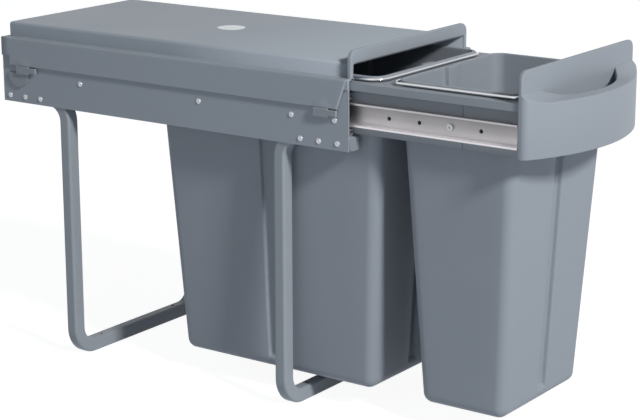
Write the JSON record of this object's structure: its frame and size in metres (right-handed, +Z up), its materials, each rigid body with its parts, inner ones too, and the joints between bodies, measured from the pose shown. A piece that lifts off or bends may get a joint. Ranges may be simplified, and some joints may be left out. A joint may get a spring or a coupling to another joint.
{
  "type": "pull-out waste unit",
  "caption": "Narrow pull-out waste unit: lift-out bins with wire bails hang in a carrier on ball slides, under a fixed lid between side plates on bent tube legs, with a bowed pull handle.",
  "frame": {"origin": "on the floor, at the centre of the four floor screw holes in the legs' feet", "axes": "+Z up; -Y is the front, towards which the drawer opens; +X is to the right for a person who faces the unit's front; the picture's near side is -X"},
  "size_m": [0.257, 0.7535, 0.418],
  "materials": {
    "lid_plastic": "fine satin moulding, mid grey",
    "panel_plastic": "fine satin moulding, mid grey",
    "carrier_plastic": "satin moulding, dark grey",
    "bin_plastic": "satin moulding, dark grey",
    "plate_paint": "satin powder coat, grey",
    "leg_paint": "satin powder coat, grey",
    "bracket_paint": "satin powder coat, grey",
    "clip_plastic": "satin moulding, grey",
    "cap_plastic": "satin moulding, grey",
    "zinc_steel": "bright zinc plate, rolled along the slide",
    "rivet_steel": "zinc plate",
    "cage_steel": "greased sheet",
    "ball_steel": "polished, greased",
    "wire_chrome": "bright plated wire",
    "badge_film": "smooth film, blank"
  },
  "bodies": {
    "frame": {"side_plate_left": "plate_paint", "side_plate_right": "plate_paint", "leg_front": "leg_paint", "leg_rear": "leg_paint", "leg_end_caps": "cap_plastic", "leg_rivets": "rivet_steel", "slide_outer_left": "zinc_steel", "slide_outer_right": "zinc_steel", "slide_rivets": "rivet_steel", "lid_clips_front": "clip_plastic", "lid_clips_rear": "clip_plastic"},
    "lid": {"lid": "lid_plastic", "lid_badge": "badge_film"},
    "outer_cages": {"outer_cage_left": "cage_steel", "outer_cage_right": "cage_steel", "outer_balls": "ball_steel"},
    "middle_slides": {"slide_middle_left": "zinc_steel", "slide_middle_right": "zinc_steel"},
    "inner_cages": {"inner_cage_left": "cage_steel", "inner_cage_right": "cage_steel", "inner_balls": "ball_steel"},
    "carriage": {"slide_inner_left": "zinc_steel", "slide_inner_right": "zinc_steel", "carrier_screws": "zinc_steel", "bin_carrier": "carrier_plastic", "panel_bracket_left": "bracket_paint", "panel_bracket_right": "bracket_paint", "panel_screws": "zinc_steel", "front_panel": "panel_plastic"},
    "bin_rear": {"bin_rear": "bin_plastic"},
    "bin_front": {"bin_front": "bin_plastic"},
    "bail_rear": {"bail_rear": "wire_chrome"},
    "bail_front": {"bail_front": "wire_chrome"}
  },
  "joints": [
    {"name": "lid_lift", "type": "slide", "parent": "frame", "child": "lid", "axis": [0, 0, 1], "range_m": [0, 0.12]},
    {"name": "slide_middle", "type": "slide", "parent": "frame", "child": "middle_slides", "axis": [0, -1, 0], "range_m": [0, 0.25]},
    {"name": "outer_cage_roll", "type": "slide", "parent": "frame", "child": "outer_cages", "axis": [0, -1, 0], "range_m": [0, 0.125]},
    {"name": "slide_inner", "type": "slide", "parent": "middle_slides", "child": "carriage", "axis": [0, -1, 0], "range_m": [-0.203, 0.047]},
    {"name": "inner_cage_roll", "type": "slide", "parent": "middle_slides", "child": "inner_cages", "axis": [0, -1, 0], "range_m": [-0.1015, 0.0235]},
    {"name": "bin_rear_lift", "type": "slide", "parent": "carriage", "child": "bin_rear", "axis": [0, 0, 1], "range_m": [0, 0.011]},
    {"name": "bin_front_lift", "type": "slide", "parent": "carriage", "child": "bin_front", "axis": [0, 0, 1], "range_m": [0, 0.37]},
    {"name": "bail_rear_turn", "type": "hinge", "parent": "bin_rear", "child": "bail_rear", "pos_m": [0, -0.122, 0.3872], "axis": [-1, 0, 0], "range_deg": [0, 5.5]},
    {"name": "bail_front_turn", "type": "hinge", "parent": "bin_front", "child": "bail_front", "pos_m": [0, -0.37175, 0.3872], "axis": [0, 1, 0], "range_deg": [0, 180]}
  ],
  "couplings": [
    {"joint": "outer_cage_roll", "follows": "slide_middle", "ratio": 0.5},
    {"joint": "inner_cage_roll", "follows": "slide_inner", "ratio": 0.5}
  ]
}
